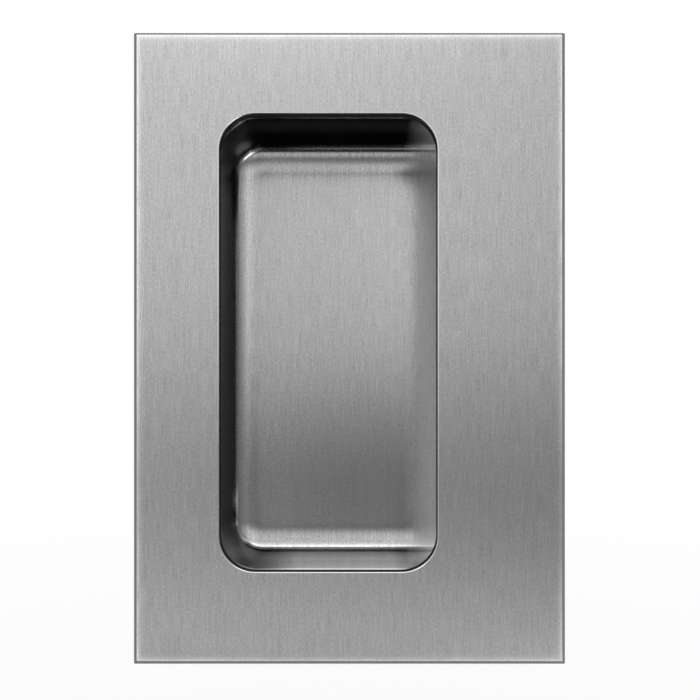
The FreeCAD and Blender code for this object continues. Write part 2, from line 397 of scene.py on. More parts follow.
def pan_section():
    """Reach beyond the mouth, depth and tilt of the inside skin, from the flange's rim to the floor."""
    turn = pi / 2 - DRAFT
    bend = BEND_RADIUS + SHEET
    bend_reach = bend * tan(turn / 2)
    rim_reach = SHEET + BEND_RADIUS + FLANGE_WIDTH
    points = [(rim_reach + (bend_reach - rim_reach) * step / FLANGE_STEPS, SEAT, 0.0) for step in range(FLANGE_STEPS)]
    for step in range(BEND_STEPS + 1):
        angle = turn * step / BEND_STEPS
        points.append((bend_reach - bend * sin(angle), SEAT + bend * (1 - cos(angle)), angle))
    first = points[-1][1]
    tilts = [DISH_TILT * (1 - step / DISH_STEPS) ** DISH_EASE for step in range(DISH_STEPS + 1)]
    pitch = DISH_REACH / DISH_STEPS
    rise = sum(pitch * tan((a + b) / 2) for a, b in zip(tilts, tilts[1:]))
    last = PAN_FLOOR - rise - FLOOR_RADIUS * (cos(DISH_TILT) - sin(DRAFT))
    for step in range(1, WALL_STEPS):
        depth = first + (last - first) * step / WALL_STEPS
        points.append((-(depth - SEAT) * tan(DRAFT), depth, turn))
    centre = -(last - SEAT) * tan(DRAFT) - FLOOR_RADIUS * cos(DRAFT)
    middle = last - FLOOR_RADIUS * sin(DRAFT)
    for step in range(FILLET_STEPS):
        tilt = turn - (turn - DISH_TILT) * step / FILLET_STEPS
        points.append((centre + FLOOR_RADIUS * sin(tilt), middle + FLOOR_RADIUS * cos(tilt), tilt))
    points.append((centre + FLOOR_RADIUS * sin(DISH_TILT), PAN_FLOOR - rise, DISH_TILT))
    for tilt in tilts[1:]:
        reach, depth, before = points[-1]
        points.append((reach - pitch, depth + pitch * tan((tilt + before) / 2), tilt))
    return points


print("pan section:", len(pan_section()), "points")


# %% Pan skins
def skin_rings(thickness):
    """Rings of one skin, a thickness behind the inside one, unrolled outwards from the floor."""
    rings, unrolled = [], 0.0
    before = None
    for reach, depth, tilt in reversed(pan_section()):
        place = (reach + thickness * sin(tilt), depth + thickness * cos(tilt))
        if before:
            unrolled += hypot(place[0] - before[0], place[1] - before[1]) - (place[0] - before[0])
        before = place
        corner = max(pan_mouth.corner + place[0], LEAST_CORNER)
        band = FLOOR_BAND if tilt < BRUSH_ENDS and depth > SEAT else WALL_BAND
        rings.append(Ring(pan_mouth.grown(place[0], corner), place[1], band, out_of_reach(tilt), unrolled))
    return rings


# %% Recess pan
inside = skin_rings(0.0)
inside[-1].band = RIM_BAND
outside = list(reversed(skin_rings(SHEET)))
for ring in outside:
    ring.band = OUTSIDE_BAND
recess_pan = loft(
    "recess_pan_drawn",
    inside + outside,
    ring_counts(pan_mouth),
    "drawn",
    caps=((0, FLOOR_BAND), (-1, OUTSIDE_BAND)),
)

# %% [markdown]
# ## Spot weld marks
#
# The electrodes leave a shallow round dish in the flange at each weld, four down each side and three along each end.
# They are too small to be worth their own rings in the loft, so one lathed cutter with fourteen copies is taken away
# with a Boolean, and its faces bring the number of their own finish with them.

# %% Places of the welds
SIDE_WELDS, END_WELDS = 4, 3
WELD_LINE = pan_mouth.grown(SHEET + BEND_RADIUS + FLANGE_WIDTH / 2)
side_pitch = (WINDOW_HEIGHT - 2 * WINDOW_CORNER) / (SIDE_WELDS - 1)
end_pitch = (WINDOW_WIDTH + GRIP_UNDERCUT - 2 * WINDOW_CORNER) / (END_WELDS - 1)
first_side = pan_mouth.bottom + WINDOW_CORNER
first_end = pan_mouth.left + WINDOW_CORNER
side_rows = [first_side + side_pitch * row for row in range(SIDE_WELDS)]
end_rows = [first_end + end_pitch * row for row in range(END_WELDS)]
weld_places = [(x, z) for x in (WELD_LINE.left, WELD_LINE.right) for z in side_rows]
weld_places += [(x, z) for z in (WELD_LINE.bottom, WELD_LINE.top) for x in end_rows]
print(len(weld_places), "weld marks")

# %% Cutter for the welds
# Radius and depth in millimetres, from the middle of a dish to its rim and out past the flange's skin
WELD_PROFILE = [(0.5, 0.15), (0.9, 0.145), (1.15, 0.11), (1.35, 0.055), (1.5, 0.0), (1.6, -0.2)]
WELD_TURNS = 32


def weld_cutter(places):
    """One mesh with a lathed electrode at each place."""
    bm = bmesh.new()
    grain = bm.loops.layers.uv.new("grain")
    ring_map = bm.loops.layers.uv.new("round")
    for x, z in places:
        rows = []
        for radius, sink in WELD_PROFILE:
            row = []
            for turn in range(WELD_TURNS):
                angle = 2 * pi * turn / WELD_TURNS
                out = (radius * MM * cos(angle), radius * MM * sin(angle))
                row.append(bm.verts.new((x + out[0], FLANGE_BACK - sink * MM, z + out[1])))
            rows.append(row)
        for near, far in zip(rows, rows[1:]):
            for turn in range(WELD_TURNS):
                after = (turn + 1) % WELD_TURNS
                bm.faces.new((near[turn], near[after], far[after], far[turn]))
        bm.faces.new(rows[0])
        bm.faces.new(rows[-1])
    bmesh.ops.recalc_face_normals(bm, faces=bm.faces)
    for face in bm.faces:
        face.material_index = WELD_BAND
        face.smooth = True
        for corner in face.loops:
            place = (corner.vert.co.x / MM, corner.vert.co.z / MM)
            corner[grain].uv = place
            corner[ring_map].uv = place
    return put_in_scene("weld_electrodes", mesh_from(bm, "weld_electrodes"))


cutter = weld_cutter(weld_places)
print("cutter:", len(cutter.data.polygons), "faces")

# %% Weld dishes
# The bands keep their numbers through the Boolean only if every band already has a place for its finish.
for _ in range(WELD_BAND + 1):
    recess_pan.data.materials.append(None)
dish = recess_pan.modifiers.new("Weld dishes", "BOOLEAN")
dish.object = cutter
dish.operation = "DIFFERENCE"
dish.solver = "EXACT"
bpy.context.view_layer.update()
cut = bpy.data.meshes.new_from_object(recess_pan.evaluated_get(bpy.context.evaluated_depsgraph_get()))
recess_pan.modifiers.clear()
recess_pan.data = cut
bpy.data.objects.remove(cutter)
print("pan with weld marks:", len(cut.polygons), "faces")
keep_flats_flat(recess_pan)
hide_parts("recess_pan")
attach(recess_pan, "root")

# %% [markdown]
# ## Small node helpers
#
# Every finish below is a Principled shader fed by a few node groups. A group holds one effect, such as brushing, and
# puts out plain values, so the same effect can be used by several metals at different strengths.


# %% Node helpers
def new_group(name, inputs, outputs):
    """An empty shader group with named sockets."""
    group = bpy.data.node_groups.new(name, "ShaderNodeTree")
    for label, kind, value in inputs:
        socket = group.interface.new_socket(name=label, in_out="INPUT", socket_type=kind)
        if value is not None:
            socket.default_value = value
    for label in outputs:
        group.interface.new_socket(name=label, in_out="OUTPUT", socket_type="NodeSocketFloat")
    return group, group.nodes.new("NodeGroupInput"), group.nodes.new("NodeGroupOutput")


def feed(tree, socket, value):
    """Puts a number, or another node's output, into a socket."""
    if isinstance(value, (int, float)):
        socket.default_value = value
    elif value is not None:
        tree.links.new(value, socket)


def math_node(tree, operation, first, second=None, clamp=False):
    """The result of one sum with numbers or other nodes' outputs."""
    node = tree.nodes.new("ShaderNodeMath")
    node.operation = operation
    node.use_clamp = clamp
    for socket, value in zip(node.inputs, (first, second)):
        feed(tree, socket, value)
    return node.outputs[0]


def swing(tree, value, strength):
    """A noise value moved to swing about zero, times a strength."""
    return math_node(tree, "MULTIPLY", math_node(tree, "SUBTRACT", value, 0.5), strength)


def curve(tree, value, stops):
    """A brightness that follows straight lines between (place, brightness) stops."""
    low, high = stops[0][0], stops[-1][0]
    scaled = tree.nodes.new("ShaderNodeMapRange")
    scaled.inputs["From Min"].default_value = low
    scaled.inputs["From Max"].default_value = high
    tree.links.new(value, scaled.inputs["Value"])
    ramp = tree.nodes.new("ShaderNodeValToRGB")
    for _ in stops[2:]:
        ramp.color_ramp.elements.new(1.0)
    peak = max(brightness for _, brightness in stops)
    for element, (place, brightness) in zip(ramp.color_ramp.elements, stops):
        element.position = (place - low) / (high - low)
        element.color = (*[brightness / peak] * 3, 1)
    tree.links.new(scaled.outputs[0], ramp.inputs[0])
    return math_node(tree, "MULTIPLY", ramp.outputs["Color"], peak)


def stretched_noise(tree, place, width, length, detail):
    """Noise whose marks are a width across X and a length along Y, in the units of the place."""
    split = tree.nodes.new("ShaderNodeSeparateXYZ")
    tree.links.new(place, split.inputs[0])
    joined = tree.nodes.new("ShaderNodeCombineXYZ")
    tree.links.new(math_node(tree, "DIVIDE", split.outputs["X"], width), joined.inputs["X"])
    tree.links.new(math_node(tree, "DIVIDE", split.outputs["Y"], length), joined.inputs["Y"])
    noise = tree.nodes.new("ShaderNodeTexNoise")
    noise.noise_dimensions = "2D"
    noise.inputs["Scale"].default_value = 1.0
    noise.inputs["Detail"].default_value = detail
    noise.inputs["Roughness"].default_value = 0.6
    tree.links.new(joined.outputs[0], noise.inputs["Vector"])
    return noise.outputs["Fac"]


def connect_outputs(group, end, marks):
    """Leads each value to the group's output of that name."""
    for label, value in marks.items():
        group.links.new(value, end.inputs[label])
    print("group:", group.name, "gives", ", ".join(marks))


# %% [markdown]
# ## Hairlines
#
# Brushing leaves thousands of shallow scratches, far longer than they are wide. Noise stretched along the grain gives
# that. Three layers are put out apart: fine lines, short ticks of the same width where a grit only touched the metal,
# and broader streaks where the belt pressed harder. The group reads the unrolled map, so the lines follow the metal
# round the pan's radii.

# %% Hairline group
hairlines, start, end = new_group(
    "Hairline brushing",
    [
        ("Place", "NodeSocketVector", None),
        ("Line width mm", "NodeSocketFloat", 0.15),
        ("Line length mm", "NodeSocketFloat", 4.5),
        ("Streak width mm", "NodeSocketFloat", 0.9),
    ],
    ["Lines", "Ticks", "Streaks"],
)
place, line_width, line_length, streak_width = list(start.outputs)[:4]
fine = stretched_noise(hairlines, place, line_width, line_length, 2.0)
tick_length = math_node(hairlines, "MULTIPLY", line_length, 0.12)
ticks = stretched_noise(hairlines, place, line_width, tick_length, 1.0)
streak_length = math_node(hairlines, "MULTIPLY", line_length, 5.0)
broad = stretched_noise(hairlines, place, streak_width, streak_length, 2.0)
connect_outputs(hairlines, end, {"Lines": fine, "Ticks": ticks, "Streaks": broad})

# %% [markdown]
# ## Mill skin
#
# Metal that no brush has touched keeps the skin of the rolling mill: a fine even grain with soft clouds in it, and
# no direction. Drawing adds faint lines down the walls, where the sheet slid over the die.

# %% Mill skin group
mill_skin, start, end = new_group(
    "Mill skin",
    [("Place", "NodeSocketVector", None), ("Grain mm", "NodeSocketFloat", 0.2)],
    ["Grain", "Clouds", "Die lines"],
)
place, grain_size = list(start.outputs)[:2]
tight = stretched_noise(mill_skin, place, grain_size, grain_size, 3.0)
cloud_size = math_node(mill_skin, "MULTIPLY", grain_size, 30.0)
clouds = stretched_noise(mill_skin, place, cloud_size, cloud_size, 3.0)
slide = stretched_noise(mill_skin, place, 8.0, 0.35, 3.0)
connect_outputs(mill_skin, end, {"Grain": tight, "Clouds": clouds, "Die lines": slide})

# %% [markdown]
# ## Rubbed edges and their painted highlight
#
# Hands and cloths polish the edges first, and the same mark carries the painted highlight along them. The loft already
# knows where the edges are, so the group only breaks that mark up a little along its length, as wear does.

# %% Rubbed edge and highlight group
rubbed_edge_highlight, start, end = new_group(
    "Rubbed edge and highlight",
    [("Edge", "NodeSocketFloat", 0.0), ("Place", "NodeSocketVector", None), ("Patch mm", "NodeSocketFloat", 6.0)],
    ["Rub and highlight"],
)
edge, place, patch_size = list(start.outputs)[:3]
patches = stretched_noise(rubbed_edge_highlight, place, patch_size, patch_size, 4.0)
level = math_node(rubbed_edge_highlight, "ADD", swing(rubbed_edge_highlight, patches, 1.2), 0.85)
rub_and_highlight = math_node(rubbed_edge_highlight, "MULTIPLY", edge, level, clamp=True)
connect_outputs(rubbed_edge_highlight, end, {"Rub and highlight": rub_and_highlight})

# %% [markdown]
# ## Bare steel
#
# Brushed steel scatters light widely across its lines and hardly at all along them. The Principled shader does this
# with its Anisotropic value and a tangent, and the tangent comes from a map, so it turns with the metal. What changes
# over the surface is its tone and its roughness; anisotropy stays one number for each finish.

# %% Steel helpers
def bare_steel(name, map_name, anisotropic):
    """A new metal material: its tree, its shader, and the place on the chosen map."""
    material = bpy.data.materials.new(name)
    material.use_nodes = True
    tree = material.node_tree
    shader = tree.nodes["Principled BSDF"]
    shader.inputs["Metallic"].default_value = 1.0
    shader.inputs["Anisotropic"].default_value = anisotropic
    tangent = tree.nodes.new("ShaderNodeTangent")
    tangent.direction_type = "UV_MAP"
    tangent.uv_map = map_name
    tree.links.new(tangent.outputs[0], shader.inputs["Tangent"])
    place = tree.nodes.new("ShaderNodeUVMap")
    place.uv_map = map_name
    return material, tree, shader, place.outputs["UV"]


def use_group(tree, group, **values):
    """Places a group. Values may be numbers or other nodes' outputs."""
    node = tree.nodes.new("ShaderNodeGroup")
    node.node_tree = group
    for label, value in values.items():
        feed(tree, node.inputs[label.replace("_", " ")], value)
    return node.outputs


def finish_mark(tree, name):
    """The mark that the loft wrote on its rings."""
    node = tree.nodes.new("ShaderNodeAttribute")
    node.attribute_name = name
    return node.outputs["Fac"]


def between(tree, factor, low, high):
    """A plain value between two others."""
    node = tree.nodes.new("ShaderNodeMix")
    for label, value in zip(("Factor", "A", "B"), (factor, low, high)):
        feed(tree, node.inputs[label], value)
    return node.outputs["Result"]


def brush_marks(tree, brush, strength):
    """Lines, ticks and streaks together, swinging about zero."""
    short = math_node(tree, "ADD", swing(tree, brush["Lines"], strength), swing(tree, brush["Ticks"], strength))
    return math_node(tree, "ADD", short, swing(tree, brush["Streaks"], 0.25 * strength))


def grey_of(tree, tone):
    """A brightness as a colour, held between black and white."""
    held = math_node(tree, "ADD", tone, 0.0, clamp=True)
    grey = tree.nodes.new("ShaderNodeCombineColor")
    for channel in grey.inputs:
        tree.links.new(held, channel)
    return grey.outputs[0]


def set_tone(tree, shader, tone):
    tree.links.new(grey_of(tree, tone), shader.inputs["Base Color"])


def set_bump(tree, shader, height, distance):
    """Scratches of a depth given in metres."""
    bump = tree.nodes.new("ShaderNodeBump")
    bump.inputs["Distance"].default_value = distance
    tree.links.new(height, bump.inputs["Height"])
    tree.links.new(bump.outputs[0], shader.inputs["Normal"])


# %% [markdown]
# ## Finishes of the plate
#
# The face is brushed. The bevel is linished round the plate, so its lines follow the edge, and it is smoother. The
# side is ground the same way but coarser. Where the edges are rubbed they carry a painted highlight. The window is cut
# through with a laser, which leaves it dark, with fine steps across the sheet, so a thin black line runs round the
# opening inside its arris, which is bright with painted highlight. The back keeps its mill skin, since it lies on
# the door.

# %% Brushed face
STEEL_TONE = 0.6
BRUSH_STRENGTH = 0.34
BRUSH_DEPTH = 0.0000006


def brushed_face():
    material, tree, shader, place = bare_steel("brushed face", "grain", 0.8)
    brush = use_group(tree, hairlines, Place=place)
    rub_and_highlight = use_group(tree, rubbed_edge_highlight, Edge=finish_mark(tree, "rub_and_highlight"), Place=place)["Rub and highlight"]
    tone = math_node(tree, "ADD", brush_marks(tree, brush, BRUSH_STRENGTH), STEEL_TONE)
    # The rub mark raises the tone up to 1.85 times at the border and round the window: a painted highlight.
    set_tone(tree, shader, math_node(tree, "MULTIPLY", tone, between(tree, rub_and_highlight, 1.0, 1.85)))
    rough = math_node(tree, "SUBTRACT", 0.38, swing(tree, brush["Lines"], 0.10))
    tree.links.new(between(tree, rub_and_highlight, rough, 0.25), shader.inputs["Roughness"])
    set_bump(tree, shader, brush["Lines"], BRUSH_DEPTH)
    return material


face_plate.data.materials.append(brushed_face())
print("plate finish:", face_plate.data.materials[-1].name)

# %% Bevel and side
LINISH_DEPTH = 0.0000003
GRIND_DEPTH = 0.000001


def linished_bevel():
    material, tree, shader, place = bare_steel("linished bevel", "round", 0.5)
    brush = use_group(tree, hairlines, Place=place, Line_width_mm=0.08)
    rub_and_highlight = finish_mark(tree, "rub_and_highlight")
    # The rub mark raises the tone towards the face and round the window's arris: a painted highlight.
    tone = math_node(tree, "ADD", swing(tree, brush["Lines"], 0.12), between(tree, rub_and_highlight, 0.58, 0.85))
    set_tone(tree, shader, tone)
    tree.links.new(math_node(tree, "ADD", swing(tree, brush["Streaks"], 0.1), 0.2), shader.inputs["Roughness"])
    set_bump(tree, shader, brush["Lines"], LINISH_DEPTH)
    return material


def ground_side():
    material, tree, shader, place = bare_steel("ground side", "round", 0.6)
    brush = use_group(tree, hairlines, Place=place, Line_width_mm=0.12, Line_length_mm=8.0)
    rub_and_highlight = use_group(tree, rubbed_edge_highlight, Edge=finish_mark(tree, "rub_and_highlight"), Place=place)["Rub and highlight"]
    marks = math_node(tree, "ADD", swing(tree, brush["Lines"], 0.2), swing(tree, brush["Streaks"], 0.1))
    # The rub mark lifts the tone a little: a painted highlight with the wear.
    set_tone(tree, shader, math_node(tree, "ADD", marks, between(tree, rub_and_highlight, 0.56, 0.64)))
    rough = math_node(tree, "SUBTRACT", 0.36, swing(tree, brush["Lines"], 0.12))
    tree.links.new(between(tree, rub_and_highlight, rough, 0.22), shader.inputs["Roughness"])
    set_bump(tree, shader, brush["Lines"], GRIND_DEPTH)
    return material


for finish in (linished_bevel, ground_side):
    face_plate.data.materials.append(finish())
    print("plate finish:", face_plate.data.materials[-1].name)

# %% Back and cut edge
MILL_DEPTH = 0.000002
CUT_DEPTH = 0.00001


def mill_back():
    material, tree, shader, place = bare_steel("mill finished back", "grain", 0.0)
    skin = use_group(tree, mill_skin, Place=place)
    marks = math_node(tree, "ADD", swing(tree, skin["Grain"], 0.2), swing(tree, skin["Clouds"], 0.18))
    set_tone(tree, shader, math_node(tree, "ADD", marks, 0.8))
    tree.links.new(math_node(tree, "ADD", swing(tree, skin["Clouds"], 0.2), 0.6), shader.inputs["Roughness"])
    set_bump(tree, shader, skin["Grain"], MILL_DEPTH)
    return material


def cut_edge():
    material, tree, shader, place = bare_steel("laser cut edge", "round", 0.0)
    shader.inputs["Specular Tint"].default_value = (0.3, 0.3, 0.3, 1)
    steps = stretched_noise(tree, place, 1.2, 0.12, 3.0)
    rub_and_highlight = use_group(tree, rubbed_edge_highlight, Edge=finish_mark(tree, "rub_and_highlight"), Place=place)["Rub and highlight"]
    # The rub mark lifts the tone where it reaches: a painted highlight.
    tone = math_node(tree, "ADD", swing(tree, steps, 0.06), between(tree, rub_and_highlight, 0.1, 0.2))
    set_tone(tree, shader, tone)
    tree.links.new(between(tree, rub_and_highlight, 0.34, 0.26), shader.inputs["Roughness"])
    set_bump(tree, shader, steps, CUT_DEPTH)
    return material


for finish in (mill_back, cut_edge):
    face_plate.data.materials.append(finish())
    print("plate finish:", face_plate.data.materials[-1].name)

# %% [markdown]
# ## Finishes of the pan
#
# The brush reaches the floor of the pan and fades out on the round beside it. The walls keep the smooth dark skin that
# the die rubs on them, and it mirrors the floor next to it. Their tone carries painted shade by height, black at the
# head and grey at the foot, with a painted highlight along the foot's rim and painted shade in the foot's corners.
# Behind the broad side, painted light brightens the metal where the plate shades it, and fingers have worn it a little
# rough.
#
# Outside, the mill skin shows with die lines down the walls, and the heat of each weld has tinted a ring of the flange
# straw, brown and blue. One group works that heat out: how far a point lies from the nearest weld of the side rows and
# of the end rows, and what is left of the heat there.

# %% Distance from a row
def from_nearest(tree, value, first, pitch):
    """Distance to the nearest of many equal steps."""
    shifted = math_node(tree, "ADD", value, pitch / 2 - first)
    return math_node(tree, "SUBTRACT", math_node(tree, "FLOORED_MODULO", shifted, pitch), pitch / 2)


def radius_of(tree, first, second):
    squares = [math_node(tree, "POWER", math_node(tree, "ABSOLUTE", value), 2.0) for value in (first, second)]
    return math_node(tree, "SQRT", math_node(tree, "ADD", *squares))


# %% Weld heat group
DISH_RADIUS = 1.2
weld_heat, start, end = new_group(
    "Weld heat",
    [("Place", "NodeSocketVector", None), ("Reach mm", "NodeSocketFloat", 1.7)],
    ["Heat"],
)
place, reach = list(start.outputs)[:2]
split = weld_heat.nodes.new("ShaderNodeSeparateXYZ")
weld_heat.links.new(place, split.inputs[0])
across, up = split.outputs["X"], split.outputs["Z"]
from_side = math_node(weld_heat, "SUBTRACT", math_node(weld_heat, "ABSOLUTE", across), WELD_LINE.right / MM)
side_row = radius_of(weld_heat, from_side, from_nearest(weld_heat, up, first_side / MM, side_pitch / MM))
from_middle = math_node(weld_heat, "SUBTRACT", up, WINDOW_RISE / MM)
half_height = (WELD_LINE.top - WINDOW_RISE) / MM
from_end = math_node(weld_heat, "SUBTRACT", math_node(weld_heat, "ABSOLUTE", from_middle), half_height)
end_row = radius_of(weld_heat, from_end, from_nearest(weld_heat, across, first_end / MM, end_pitch / MM))
nearest = math_node(weld_heat, "MINIMUM", side_row, end_row)
cooled = math_node(weld_heat, "DIVIDE", math_node(weld_heat, "SUBTRACT", nearest, DISH_RADIUS), reach)
heat = math_node(weld_heat, "SUBTRACT", 1.0, cooled, clamp=True)
connect_outputs(weld_heat, end, {"Heat": heat})


# %% Place and heat tint
def object_place(tree):
    """Place on the object in millimetres."""
    where = tree.nodes.new("ShaderNodeTexCoord")
    scaled = tree.nodes.new("ShaderNodeVectorMath")
    scaled.operation = "SCALE"
    scaled.inputs["Scale"].default_value = 1 / MM
    tree.links.new(where.outputs["Object"], scaled.inputs[0])
    return scaled.outputs[0]


HEAT_TINTS = [
    (0.0, (1, 1, 1)), (0.35, (1.0, 0.86, 0.62)), (0.65, (0.78, 0.5, 0.32)), (0.85, (0.42, 0.36, 0.5)),
    (1.0, (0.5, 0.52, 0.6)),
]


def tint_by_heat(tree, shader, tone, heat):
    """Steel that turns straw, then brown, then blue as it was hotter."""
    tint = tree.nodes.new("ShaderNodeValToRGB")
    for _ in HEAT_TINTS[2:]:
        tint.color_ramp.elements.new(1.0)
    for element, (place, colour) in zip(tint.color_ramp.elements, HEAT_TINTS):
        element.position = place
        element.color = (*colour, 1)
    tree.links.new(heat, tint.inputs[0])
    mixed = tree.nodes.new("ShaderNodeMix")
    mixed.data_type = "RGBA"
    mixed.blend_type = "MULTIPLY"
    mixed.inputs["Factor"].default_value = 1.0
    tree.links.new(grey_of(tree, tone), mixed.inputs["A"])
    tree.links.new(tint.outputs[0], mixed.inputs["B"])
    tree.links.new(mixed.outputs["Result"], shader.inputs["Base Color"])


print("heat tints:", len(HEAT_TINTS))

# %% Wear, painted light and painted shade inside the pan
WINDOW_FOOT, WINDOW_HEAD, WINDOW_SIDE = window.bottom / MM, window.top / MM, window.right / MM

# Tone of the drawn skin on the walls by height in millimetres, from the window's foot to its head: painted shade that
# deepens towards the head, and a painted highlight at the foot's rim
WALL_LIGHT_AND_SHADE = [(WINDOW_FOOT + up, tone) for up, tone in ((-0.25, 0.95), (-0.05, 0.6), (0.1, 0.31), (0.35, 0.22))]
WALL_LIGHT_AND_SHADE += [(WINDOW_FOOT + 0.8, 0.28), (WINDOW_FOOT + 9, 0.11), (0.0, 0.075)]
WALL_LIGHT_AND_SHADE += [(WINDOW_HEAD - 9, 0.075), (WINDOW_HEAD - 2, 0.03)]
# How much of the foot's own wall a height belongs to, and the share of that tone there, across in millimetres: painted
# shade in the foot wall's corners and at its right end
FOOT_WALL_SHADE_MASK = [(WINDOW_FOOT + 0.9, 1.0), (WINDOW_FOOT + 3, 0.0)]
CORNER_PAINTED_SHADE = [(-24.3, 1.0), (-22.0, 0.3), (-18.0, 0.15), (-15.0, 0.4), (-10.0, 1.0), (9.0, 1.0), (14.0, 0.55)]
# How far fingers have worn the metal, across in millimetres; the same share lifts the tone with painted light where
# the plate's broad side shades the pan
GRIP_WEAR_AND_LIGHT = [(WINDOW_SIDE - 5, 0.0), (WINDOW_SIDE + 1, 1.0)]
print("wall tone from", WALL_LIGHT_AND_SHADE[0][1], "at the foot to", WALL_LIGHT_AND_SHADE[-1][1], "at the head")


# %% Inside of the pan
def pan_inside(name, anisotropic, glancing):
    """Brushed floor or drawn wall. Glancing says how much of its mirror is left when seen along the surface."""
    material, tree, shader, place = bare_steel(name, "grain", anisotropic)
    shader.inputs["Specular Tint"].default_value = (glancing, glancing, glancing, 1)
    brush = use_group(tree, hairlines, Place=place)
    skin = use_group(tree, mill_skin, Place=place)
    drawn = finish_mark(tree, "drawn")
    where = tree.nodes.new("ShaderNodeSeparateXYZ")
    tree.links.new(object_place(tree), where.inputs[0])
    across, up = where.outputs["X"], where.outputs["Z"]
    # Under the plate's broad side the tone is lifted with painted light, and the metal is rougher from wear.
    wear_and_painted_light = curve(tree, across, GRIP_WEAR_AND_LIGHT)
    # The walls' tone is painted light and shade by height, with painted shade in the foot's corners.
    corner_shade_share = between(tree, curve(tree, up, FOOT_WALL_SHADE_MASK), 1.0, curve(tree, across, CORNER_PAINTED_SHADE))
    wall_light_and_shade = math_node(tree, "MULTIPLY", curve(tree, up, WALL_LIGHT_AND_SHADE), corner_shade_share)
    brushed = math_node(tree, "ADD", brush_marks(tree, brush, BRUSH_STRENGTH), between(tree, wear_and_painted_light, 0.58, 0.9))
    drawn_skin_and_shade = math_node(tree, "ADD", swing(tree, skin["Clouds"], 0.02), between(tree, wear_and_painted_light, wall_light_and_shade, 0.97))
    set_tone(tree, shader, between(tree, drawn, brushed, drawn_skin_and_shade))
    rough = math_node(tree, "SUBTRACT", between(tree, wear_and_painted_light, 0.22, 0.34), swing(tree, brush["Lines"], 0.10))
    smooth = math_node(tree, "ADD", swing(tree, skin["Clouds"], 0.06), 0.16)
    tree.links.new(between(tree, drawn, rough, smooth), shader.inputs["Roughness"])
    set_bump(tree, shader, between(tree, drawn, brush["Lines"], 0.5), BRUSH_DEPTH)
    return material


# %% Outside of the pan
def pan_outside(name, heat_shift):
    """Mill skin with die lines and heat tint. The shift says how much hotter it was than its distance tells."""
    material, tree, shader, place = bare_steel(name, "grain", 0.0)
    skin = use_group(tree, mill_skin, Place=place)
    around = tree.nodes.new("ShaderNodeUVMap")
    around.uv_map = "round"
    slide = use_group(tree, mill_skin, Place=around.outputs[0])["Die lines"]
    walls = finish_mark(tree, "drawn")
    lines = math_node(tree, "MULTIPLY", swing(tree, slide, 0.22), walls)
    marks = math_node(tree, "ADD", swing(tree, skin["Grain"], 0.2), swing(tree, skin["Clouds"], 0.2))
    tone = math_node(tree, "ADD", math_node(tree, "ADD", marks, lines), 0.54)
    heat = use_group(tree, weld_heat, Place=object_place(tree))["Heat"]
    tint_by_heat(tree, shader, tone, math_node(tree, "ADD", heat, heat_shift, clamp=True))
    tree.links.new(math_node(tree, "ADD", swing(tree, skin["Clouds"], 0.2), 0.42), shader.inputs["Roughness"])
    set_bump(tree, shader, skin["Grain"], MILL_DEPTH)
    return material


def pan_rim():
    material, tree, shader, place = bare_steel("trimmed flange rim", "round", 0.0)
    shear = stretched_noise(tree, place, 1.5, 0.15, 3.0)
    set_tone(tree, shader, math_node(tree, "ADD", swing(tree, shear, 0.25), 0.45))
    tree.links.new(math_node(tree, "ADD", swing(tree, shear, 0.3), 0.45), shader.inputs["Roughness"])
    set_bump(tree, shader, shear, CUT_DEPTH)
    return material


# %% Finish the pan
pan_finishes = (
    pan_inside("brushed pan floor", 0.4, 1.0),
    pan_inside("drawn pan wall", 0.2, 0.6),
    pan_outside("mill finished pan outside", 0.0),
    pan_rim(),
    pan_outside("weld mark", 0.1),
)
for band, material in enumerate(pan_finishes):
    recess_pan.data.materials[band] = material
print("pan finishes:", [material.name for material in recess_pan.data.materials])

# %% [markdown]
# ## Camera
#
# The pull was photographed from close by, with the lens a little left of its middle and below it: the left wall of
# the pan shows, the right one hides behind the plate, and more shows of the head than of the foot. The lens and a
# small shift follow from that distance and from the size of the plate in the picture.

# %% Camera
# Places and sizes in the picture, in pixels: its side, the point that the lens looks at, and the plate
SENSOR = 36.0
IMAGE_SIZE = 700
VIEW_X, VIEW_Y = 337.0, 394.0
PLATE_X, PLATE_Y, PLATE_TALL = 349.5, 348.1, 630.6
DISTANCE = 124.2 * MM
PIXEL = plate_outline.top * 2 / PLATE_TALL * DISTANCE / (DISTANCE + BEVEL)

camera = put_in_scene("camera", bpy.data.cameras.new("camera"))
camera.location = ((VIEW_X - PLATE_X) * PIXEL, FRONT - DISTANCE, (PLATE_Y - VIEW_Y) * PIXEL)
camera.rotation_euler = (pi / 2, 0, 0)
camera.data.sensor_width = SENSOR
camera.data.lens = DISTANCE / PIXEL * SENSOR / IMAGE_SIZE
camera.data.shift_x = (IMAGE_SIZE / 2 - VIEW_X) / IMAGE_SIZE
camera.data.shift_y = (VIEW_Y - IMAGE_SIZE / 2) / IMAGE_SIZE
camera.data.clip_start = 1 * MM
scene.camera = camera
print("lens", round(camera.data.lens, 2), "mm")

# %% [markdown]
# ## White room
#
# The background is plain white and the floor is pale. Both are white to the camera by their own colour, and the
# world's light stays at a plain level.

# %% World
WORLD_LIGHT = 0.95
scene.view_settings.view_transform = "Standard"

world = bpy.data.worlds.new("white room")
scene.world = world
world.use_nodes = True
tree = world.node_tree
path = tree.nodes.new("ShaderNodeLightPath")
seen = math_node(tree, "ADD", path.outputs["Is Camera Ray"], path.outputs["Is Glossy Ray"])
seen = math_node(tree, "ADD", seen, path.outputs["Is Transmission Ray"], clamp=True)
background = tree.nodes["Background"]
background.inputs["Color"].default_value = (1, 1, 1, 1)
tree.links.new(between(tree, seen, WORLD_LIGHT, 1.0), background.inputs["Strength"])
print("world light", WORLD_LIGHT)

